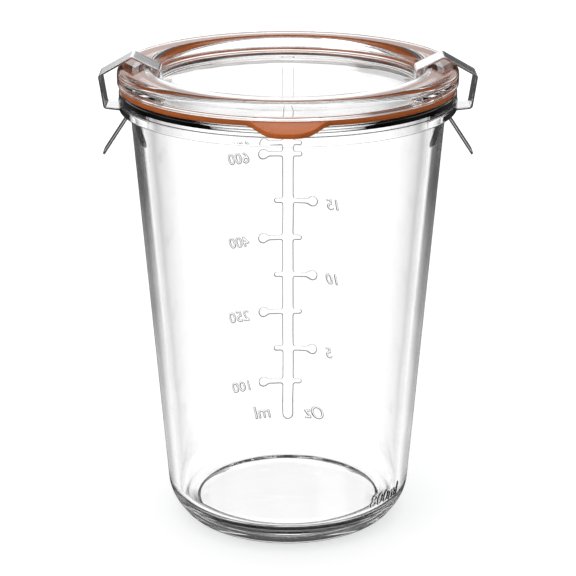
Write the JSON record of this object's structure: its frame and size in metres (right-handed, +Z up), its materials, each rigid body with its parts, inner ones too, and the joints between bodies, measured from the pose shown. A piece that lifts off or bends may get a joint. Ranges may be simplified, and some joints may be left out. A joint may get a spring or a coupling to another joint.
{
  "type": "glass starter jar",
  "caption": "Tapered clear glass jar with a recessed glass lid, a flat rubber sealing ring with a pull tab and spring clips that hold the lid on.",
  "frame": {"origin": "centre of the ring on which the jar stands, on the jar's axis", "axes": "+Z up along the jar's axis, -Y towards the front where the ring's pull tab points, +X to the right seen from the front"},
  "size_m": [0.121, 0.1231, 0.157],
  "materials": {
    "jar_glass": "clear polished soda-lime glass",
    "lid_glass": "clear polished soda-lime glass",
    "ring_rubber": "smooth satin natural rubber",
    "clip_steel": "bright rolled stainless spring strip"
  },
  "bodies": {
    "jar": {"jar": "jar_glass"},
    "sealing_ring": {"sealing_ring": "ring_rubber"},
    "lid": {"lid": "lid_glass"},
    "clip_left": {"clip_left": "clip_steel"},
    "clip_right": {"clip_right": "clip_steel"}
  },
  "joints": [
    {"name": "lid_lift", "type": "slide", "parent": "jar", "child": "lid", "axis": [0, 0, 1], "range_m": [0, 0.06]},
    {"name": "ring_lift", "type": "slide", "parent": "jar", "child": "sealing_ring", "axis": [0, 0, 1], "range_m": [0, 0.024]},
    {"name": "clip_left_swing", "type": "hinge", "parent": "lid", "child": "clip_left", "pos_m": [-0.0373, 0, 0.1471], "axis": [0, 1, 0], "range_deg": [0, 70], "deforming": ["clip_left"]},
    {"name": "clip_right_swing", "type": "hinge", "parent": "lid", "child": "clip_right", "pos_m": [0.0373, 0, 0.1471], "axis": [0, -1, 0], "range_deg": [0, 70], "deforming": ["clip_right"]}
  ],
  "couplings": [
    {"joint": "ring_lift", "follows": "lid_lift", "ratio": 0.4}
  ]
}
